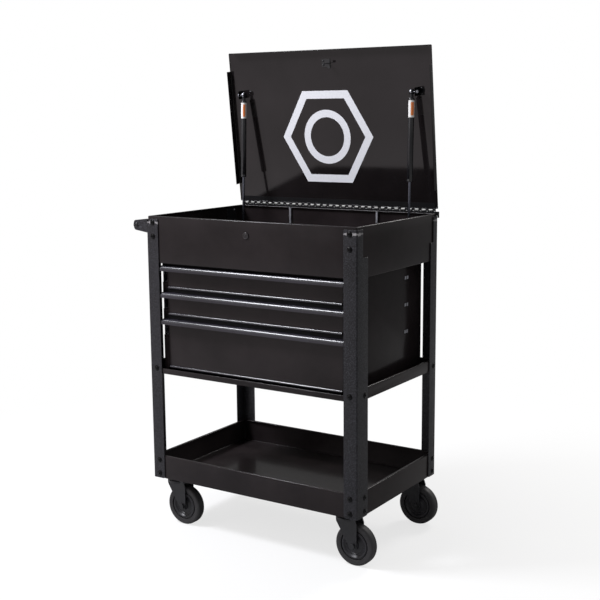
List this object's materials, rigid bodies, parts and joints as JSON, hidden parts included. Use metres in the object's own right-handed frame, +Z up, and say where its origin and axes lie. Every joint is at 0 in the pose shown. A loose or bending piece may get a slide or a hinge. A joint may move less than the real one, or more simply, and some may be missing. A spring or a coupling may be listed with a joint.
{
  "type": "rolling tool cart",
  "caption": "Black sheet-metal rolling tool cart: flip-top till on gas struts over stacked drawers, open lower tray, push handle and swivel casters.",
  "frame": {"origin": "on the floor under the middle of the cart's bounding box, lid open, drawers shut, handle and bolt heads included", "axes": "+Z up, +Y from the drawer fronts to the hinge side, +X from the handle end to the far end"},
  "size_m": [0.8525, 0.5088, 1.5182],
  "materials": {
    "hammered_black": "black hammered powder coat, semi-gloss",
    "black_paint": "smooth black powder coat, semi-gloss",
    "gloss_black": "gloss black paint",
    "pull_black": "smooth black coat with a soft sheen",
    "zinc": "bright zinc plate",
    "strut_black": "black painted tube",
    "rod_steel": "ground bright steel",
    "caster_black": "black painted pressed steel",
    "wheel": "matt black rubber tread on a moulded core",
    "lock_chrome": "dulled chrome plate"
  },
  "bodies": {
    "cart_frame": {"post_front_left": "hammered_black", "post_front_right": "hammered_black", "post_rear_left": "hammered_black", "post_rear_right": "hammered_black", "lower_tray": "black_paint", "middle_tray": "black_paint", "till_box": "black_paint", "cabinet_shell": "black_paint", "rear_wall_stiffener_left": "zinc", "rear_wall_stiffener_right": "zinc", "hinge_till_leaf": "hammered_black", "hinge_pin": "rod_steel", "strut_bracket_lower_left": "zinc", "strut_bracket_lower_right": "zinc", "lock_barrel": "lock_chrome", "handle_bracket_front": "hammered_black", "handle_bracket_rear": "hammered_black", "handle_bar": "hammered_black", "cabinet_rail_upper_left": "zinc", "cabinet_rail_upper_right": "zinc", "cabinet_rail_middle_left": "zinc", "cabinet_rail_middle_right": "zinc", "cabinet_rail_lower_left": "zinc", "cabinet_rail_lower_right": "zinc", "caster_plate_front_left": "caster_black", "caster_plate_front_right": "caster_black", "caster_plate_rear_left": "caster_black", "caster_plate_rear_right": "caster_black"},
    "lid": {"lid": "gloss_black", "hinge_lid_leaf": "hammered_black", "lock_strike": "zinc", "strut_bracket_upper_left": "zinc", "strut_bracket_upper_right": "zinc"},
    "lock": {"lock_plug": "lock_chrome", "lock_cam": "zinc"},
    "strut_left_tube": {"strut_tube_left": "strut_black"},
    "strut_left_rod": {"strut_rod_left": "rod_steel"},
    "strut_right_tube": {"strut_tube_right": "strut_black"},
    "strut_right_rod": {"strut_rod_right": "rod_steel"},
    "drawer_upper": {"drawer_upper": "black_paint", "drawer_upper_pull": "pull_black", "drawer_upper_slide_left": "zinc", "drawer_upper_slide_right": "zinc"},
    "drawer_middle": {"drawer_middle": "black_paint", "drawer_middle_pull": "pull_black", "drawer_middle_slide_left": "zinc", "drawer_middle_slide_right": "zinc"},
    "drawer_lower": {"drawer_lower": "black_paint", "drawer_lower_pull": "pull_black", "drawer_lower_slide_left": "zinc", "drawer_lower_slide_right": "zinc"},
    "caster_front_left_fork": {"caster_fork_front_left": "caster_black"},
    "caster_front_left_wheel": {"caster_wheel_front_left": "wheel"},
    "caster_front_right_fork": {"caster_fork_front_right": "caster_black"},
    "caster_front_right_wheel": {"caster_wheel_front_right": "wheel"},
    "caster_rear_left_fork": {"caster_fork_rear_left": "caster_black"},
    "caster_rear_left_wheel": {"caster_wheel_rear_left": "wheel"},
    "caster_rear_right_fork": {"caster_fork_rear_right": "caster_black"},
    "caster_rear_right_wheel": {"caster_wheel_rear_right": "wheel"}
  },
  "joints": [
    {"name": "lid_hinge", "type": "hinge", "parent": "cart_frame", "child": "lid", "pos_m": [0.01275, 0.25052, 1.0131], "axis": [1, 0, 0], "range_deg": [0, 83.44], "stiffness_Nm_per_rad": 4, "springref_deg": -22.92},
    {"name": "strut_left_swing", "type": "hinge", "parent": "lid", "child": "strut_left_tube", "pos_m": [-0.30425, 0.19037, 1.37862], "axis": [1, 0, 0], "range_deg": [-3.14, 0]},
    {"name": "strut_left_slide", "type": "slide", "parent": "strut_left_tube", "child": "strut_left_rod", "axis": [0, 0.0321, 0.9995], "range_m": [0, 0.1424]},
    {"name": "strut_right_swing", "type": "hinge", "parent": "lid", "child": "strut_right_tube", "pos_m": [0.32975, 0.19037, 1.37862], "axis": [1, 0, 0], "range_deg": [-3.14, 0]},
    {"name": "strut_right_slide", "type": "slide", "parent": "strut_right_tube", "child": "strut_right_rod", "axis": [0, 0.0321, 0.9995], "range_m": [0, 0.1424]},
    {"name": "drawer_upper_slide", "type": "slide", "parent": "cart_frame", "child": "drawer_upper", "axis": [0, -1, 0], "range_m": [0, 0.3]},
    {"name": "drawer_middle_slide", "type": "slide", "parent": "cart_frame", "child": "drawer_middle", "axis": [0, -1, 0], "range_m": [0, 0.3]},
    {"name": "drawer_lower_slide", "type": "slide", "parent": "cart_frame", "child": "drawer_lower", "axis": [0, -1, 0], "range_m": [0, 0.3]},
    {"name": "lock_turn", "type": "hinge", "parent": "cart_frame", "child": "lock", "pos_m": [0.01275, -0.24838, 0.9614], "axis": [0, 1, 0], "range_deg": [0, 90]},
    {"name": "caster_front_left_swivel", "type": "hinge", "parent": "cart_frame", "child": "caster_front_left_fork", "pos_m": [-0.30725, -0.20088, 0.1552], "axis": [0, 0, 1], "continuous": true},
    {"name": "caster_front_left_wheel", "type": "hinge", "parent": "caster_front_left_fork", "child": "caster_front_left_wheel", "pos_m": [-0.27725, -0.20088, 0.0635], "axis": [0, 1, 0], "continuous": true},
    {"name": "caster_front_right_swivel", "type": "hinge", "parent": "cart_frame", "child": "caster_front_right_fork", "pos_m": [0.33275, -0.20088, 0.1552], "axis": [0, 0, 1], "continuous": true},
    {"name": "caster_front_right_wheel", "type": "hinge", "parent": "caster_front_right_fork", "child": "caster_front_right_wheel", "pos_m": [0.36275, -0.20088, 0.0635], "axis": [0, 1, 0], "continuous": true},
    {"name": "caster_rear_left_swivel", "type": "hinge", "parent": "cart_frame", "child": "caster_rear_left_fork", "pos_m": [-0.30725, 0.20012, 0.1552], "axis": [0, 0, 1], "continuous": true},
    {"name": "caster_rear_left_wheel", "type": "hinge", "parent": "caster_rear_left_fork", "child": "caster_rear_left_wheel", "pos_m": [-0.27725, 0.20012, 0.0635], "axis": [0, 1, 0], "continuous": true},
    {"name": "caster_rear_right_swivel", "type": "hinge", "parent": "cart_frame", "child": "caster_rear_right_fork", "pos_m": [0.33275, 0.20012, 0.1552], "axis": [0, 0, 1], "continuous": true},
    {"name": "caster_rear_right_wheel", "type": "hinge", "parent": "caster_rear_right_fork", "child": "caster_rear_right_wheel", "pos_m": [0.36275, 0.20012, 0.0635], "axis": [0, 1, 0], "continuous": true}
  ],
  "couplings": [
    {"joint": "strut_left_swing", "follows": "lid_hinge", "ratio": -0.037068},
    {"joint": "strut_left_slide", "follows": "lid_hinge", "m_per_rad": 0.097646},
    {"joint": "strut_right_swing", "follows": "lid_hinge", "ratio": -0.037068},
    {"joint": "strut_right_slide", "follows": "lid_hinge", "m_per_rad": 0.097646}
  ]
}
